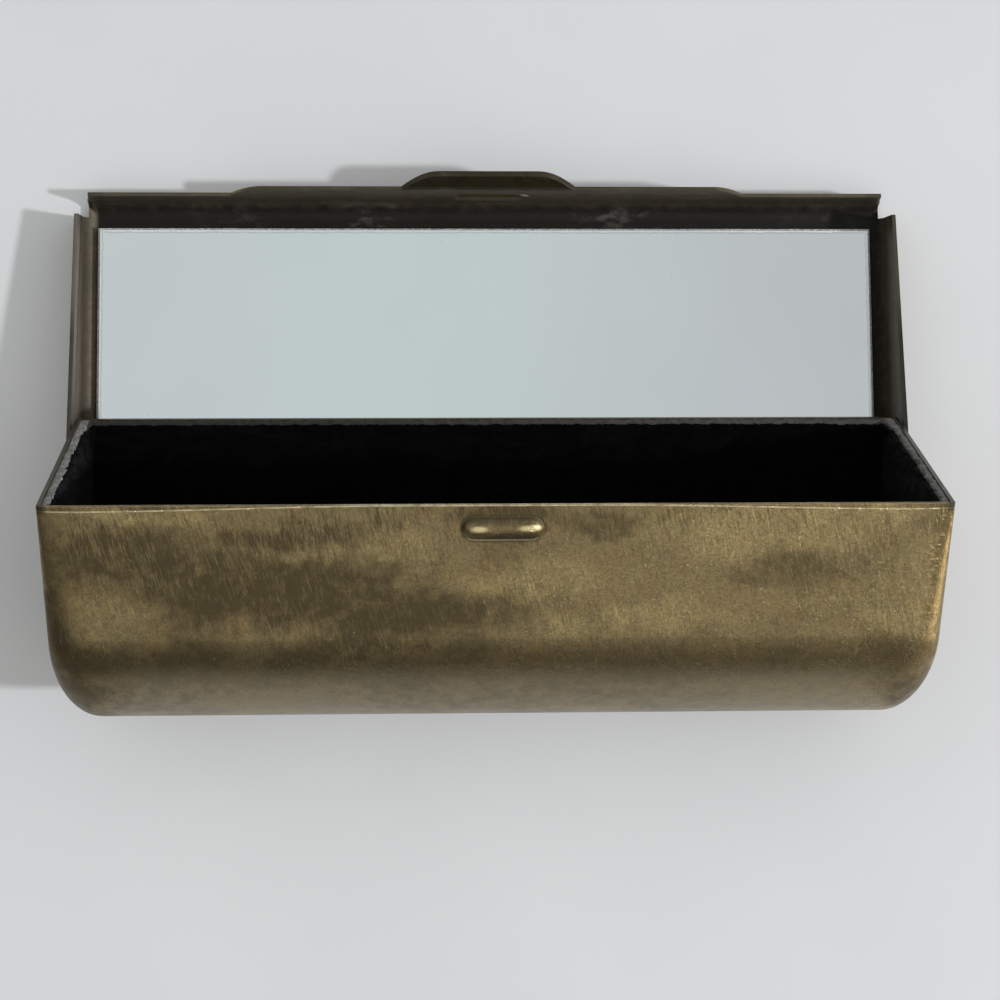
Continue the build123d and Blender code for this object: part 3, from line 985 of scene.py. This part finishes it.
def u_piece(name, start, thickness, back_top, front_top, lumps, fray, flare, material):
    loops = []
    for x in np.linspace(-seam, seam, stations):
        x = float(x)
        lift = math.exp(-((x - loose_at) / loose_reach) ** 2)
        ragged = soft((x, 0, 0), 1.1, fray, 3) + soft((x, 0, 0), 0.35, fray, 9)
        top = back_top + ragged
        outer = u_line(x, start, start, top, front_top, points_per_line)
        inner = u_line(x, start + thickness, start - glue_gap, top, front_top, points_per_line)

        def amount(point):
            pushed = soft(point, 3.0, lumps, 5) + soft(point, 0.6, lumps * 0.5, 7)
            if point[1] <= 0:
                return pushed
            below_top = top - point[2]
            tufts = flare + soft(point, 0.7, 0.28, 11) + soft(point, 0.28, 0.20, 12)
            loose = loose_height * lift * math.exp(-below_top / loose_depth)
            return pushed + math.exp(-below_top / tuft_depth) * tufts + loose

        inner = push_in(inner, amount)
        loops.append(outer + inner[::-1] + cut_face(inner[0], outer[0], x, 0, fray, 13))
    return loft(name, loops, "base", material)


# %% [markdown]
# ## Felt and velvet
# The backing is a short grey felt: rough, matt, paler where it is cut. Velvet drinks light when seen along
# its pile and shows a faint cold sheen at a slant. Both get a bump of short fibres, only just visible from
# a hand's breadth away.

# %% Cloth finishes
def felt_look():
    look = Look("felt_grey")
    place = look.place(stand_up)
    tone = look.noise(place, 0.5, 4.0)
    fibres = look.noise(look.turned(place, (20, 30, 40), (1.0, 0.35, 1.0)), 9.0, 4.0, 0.7, 1.0)
    colour = look.mix(look.between(fibres, 0.32, 0.66), (0.075, 0.074, 0.071), (0.460, 0.455, 0.445))
    colour = look.mix(look.between(tone, 0.4, 0.7, 0.0, 0.5), colour, (0.140, 0.120, 0.100))
    across, depth, _ = look.axes(place)
    # The felt on the back wall of the trough is painted near black as shade, a little less towards the right
    trough_only = look.falls(look.size(across), seam - 0.05, seam + 0.05)
    back_shade_share = look.between(across, -30, 42, 0.93, 0.72)
    at_back = look.times(look.times(trough_only, look.between(depth, 8.0, 9.0)), back_shade_share)
    colour = look.mix(at_back, colour, (0.018, 0.017, 0.014))
    right = look.between(across, 0, 40, 0.0, 0.45)
    colour = look.mix(right, colour, (0.090, 0.089, 0.086))
    normal = look.bump(look.times(fibres, 0.16))
    return look.shade(Base_Color=colour, Roughness=0.95, Sheen_Weight=0.10, Sheen_Roughness=0.5,
                      Sheen_Tint=(0.8, 0.8, 0.82), Specular_IOR_Level=0.10, Normal=normal)


def velvet_look():
    look = Look("velvet_black")
    place = look.place(stand_up)
    combed = look.turned(look.place(), stretch=(1, 2.2, 0.5))
    nap = look.noise(combed, 0.35, 4.0, 0.6, 0.8)
    pile = look.noise(combed, 6.0, 3.0, 0.7)
    colour = look.mix(look.between(nap, 0.4, 0.65), (0.0008, 0.0008, 0.0010), (0.0022, 0.0023, 0.0028))
    colour = look.mix(look.between(pile, 0.55, 0.8, 0.0, 0.6), colour, (0.0045, 0.0045, 0.0052))
    across, _, up = look.axes(place)
    # End walls painted lighter towards the rim, as the velvet's sheen at a slant, with wisps of nap
    at_ends = look.between(look.size(across), 41.2, 41.6)
    wisps = look.noise(combed, 0.40, 4.0, 0.6, 0.8)
    end_sheen = look.mix(look.between(wisps, 0.40, 0.70), (0.0050, 0.0050, 0.0055), (0.019, 0.019, 0.020))
    colour = look.paint(colour, at_ends, look.between(up, -14, -1, 0.25, 1.0), end_sheen)
    lint = look.times(specks(look, place, 0.30, 0.09, 0.10), 0.25)
    colour = look.mix(lint, colour, (0.30, 0.30, 0.29))
    height = look.plus(look.times(nap, 0.12), look.times(pile, 0.03))
    return look.shade(Base_Color=colour, Roughness=1.0, Sheen_Weight=0.012, Sheen_Roughness=0.40,
                      Sheen_Tint=(0.75, 0.8, 0.95), Specular_IOR_Level=0.05, Normal=look.bump(height))


felt = felt_look()
velvet = velvet_look()
print("cloth finishes", felt.name, velvet.name)

# %% Lay the long pieces
below_rim, front_drop = 0.1, 0.9
backing_u = u_piece("felt_trough", backing_at, backing_thickness, -below_rim, -front_drop,
                    lumps=0.03, fray=0.10, flare=0.02, material=felt)
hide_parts("lining_backing_trough")
velvet_u = u_piece("velvet_trough", velvet_at, velvet_thickness, -below_rim - 0.35, -front_drop - 0.1,
                   lumps=0.07, fray=0.12, flare=0.02, material=velvet)
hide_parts("lining_velvet_trough")

# %% [markdown]
# ## The end pieces
# Each end piece is a flat cut the shape of the trough's section. Its loops run down one face and up the
# other, one loop for each place from front to back. The left one is the right one mirrored, with frays and
# creases of its own.

# %% End pieces
corner_turn, turn_from, turn_width = 1.1, 0.62, 0.38
columns, rows = 170, 46


def turned_in(u):
    """Millimetres that an end piece turns in, from u = -1 at the front to 1 in the back corner."""
    return corner_turn * max(0.0, (u - turn_from) / turn_width) ** 2


def end_piece(name, side, start, thickness, top, lumps, fray, flare, material):
    outer_x = case_length / 2 - start
    at_rim, at_wall, down = section(outer_x, start, start)
    loops = []
    for u in np.linspace(-0.998, 0.998, columns):
        u = float(u)
        ragged = soft((u * 12, side, 0), 1.0, fray, 21) + soft((u * 12, side, 0), 0.35, fray, 23)
        peak = top + ragged
        bottom = -wall_height - down * math.sqrt(1 - u * u)
        inner, outer = [], []
        for r in range(rows):
            z = peak + (bottom - peak) * (r / (rows - 1)) ** 1.5
            y = u * (at_rim + (at_wall - at_rim) * min(1.0, -z / wall_height))
            x = outer_x - thickness
            spot = (side * x, y, z)
            push = soft(spot, 4.0, lumps, 25) + soft(spot, 0.6, lumps * 0.4, 27)
            tufts = flare + soft(spot, 0.8, 0.42, 29) + soft(spot, 0.3, 0.26, 33)
            push += math.exp(-(peak - z) / 0.4) * tufts + turned_in(u) * math.exp(-(peak - z) / 3.0)
            inner.append((side * (x - push), y, z))
            outer.append((side * outer_x, y, z))
        loops.append(inner + outer[::-1] + cut_face(outer[0], inner[0], u * 12, side, fray, 31))
    return loft(name, loops, "base", material)


for side, word in ((-1, "left"), (1, "right")):
    backing_end = end_piece("felt_" + word, side, backing_at, backing_thickness, -below_rim,
                            lumps=0.02, fray=0.10, flare=0.03, material=felt)
    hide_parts("lining_backing_" + word)
    velvet_end = end_piece("velvet_" + word, side, velvet_at, velvet_thickness, -below_rim - 0.4,
                           lumps=0.05, fray=0.14, flare=0.0, material=velvet)
    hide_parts("lining_velvet_" + word)

# %% [markdown]
# ## Loose fibres
# Scissors pull short fibres out of felt, and they stand up from the cut like down. Each is a bent
# three-sided hair with closed ends, a few hundredths of a millimetre thick. All hairs of one edge make one
# mesh.

# %% Fibres on the cut edges
dice = random.Random(7)
rim_limit = 0.25


def hair(points, faces, root, length, thick):
    """Adds one bent hair with three sides, growing from root, to lists of points and faces."""
    turn, lean_out = dice.uniform(0, 2 * math.pi), dice.uniform(0.15, 1.25)
    side_way = Vector((math.cos(turn), math.sin(turn), 0))
    curl = Vector((dice.uniform(-1, 1), dice.uniform(-1, 1), dice.uniform(-0.6, 0.2)))
    across_way = Vector((-side_way.y, side_way.x, 0))
    up_way = side_way * math.sin(lean_out) + Vector((0, 0, math.cos(lean_out)))
    first, steps = len(points), 4
    for step in range(steps):
        s = step / (steps - 1)
        middle = root + length * (s * up_way + 0.35 * s * s * curl)
        for corner in range(3):
            a = 2 * math.pi * corner / 3
            spread = thick * (1 - 0.7 * s)
            points.append(middle + spread * (math.cos(a) * across_way + math.sin(a) * side_way))
    for step in range(steps - 1):
        for corner in range(3):
            a, b = first + 3 * step + corner, first + 3 * step + (corner + 1) % 3
            faces.append((a, b, b + 3, a + 3))
    faces.append((first + 2, first + 1, first))
    last = first + 3 * (steps - 1)
    faces.append((last, last + 1, last + 2))


def fibres(name, count, root_at, longest):
    """One mesh of many hairs, kept under the rim's height so that the lid still closes over them."""
    points, faces = [], []
    for _ in range(count):
        length = dice.uniform(0.25, 1.0) * longest
        hair(points, faces, Vector(root_at()), length, dice.uniform(0.010, 0.020))
    for point in points:
        point.z = min(point.z, rim_limit)
    piece = cloth_mesh(name, points, faces, felt)
    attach(piece, "base")
    print(name, count, "hairs")


# %% Fibres along each edge
felt_inner = backing_at + backing_thickness
hair_count = 420
for side, word in ((-1, "left"), (1, "right")):
    def on_end_wall():
        u = dice.uniform(-0.98, 0.98)
        x = case_length / 2 - dice.uniform(backing_at + 0.1, felt_inner + 0.1)
        x -= turned_in(u) * dice.uniform(0, 1)
        return side * x, u * (bottom_radius - felt_inner), -below_rim - dice.uniform(0.02, 0.15)

    fibres("fibres_" + word, hair_count, on_end_wall, 0.5)


def on_back_wall():
    y = bottom_radius - dice.uniform(backing_at + 0.1, felt_inner + 0.1)
    return dice.uniform(-seam, seam), y, -below_rim - dice.uniform(0.02, 0.15)


fibres("fibres_back", hair_count, on_back_wall, 0.3)
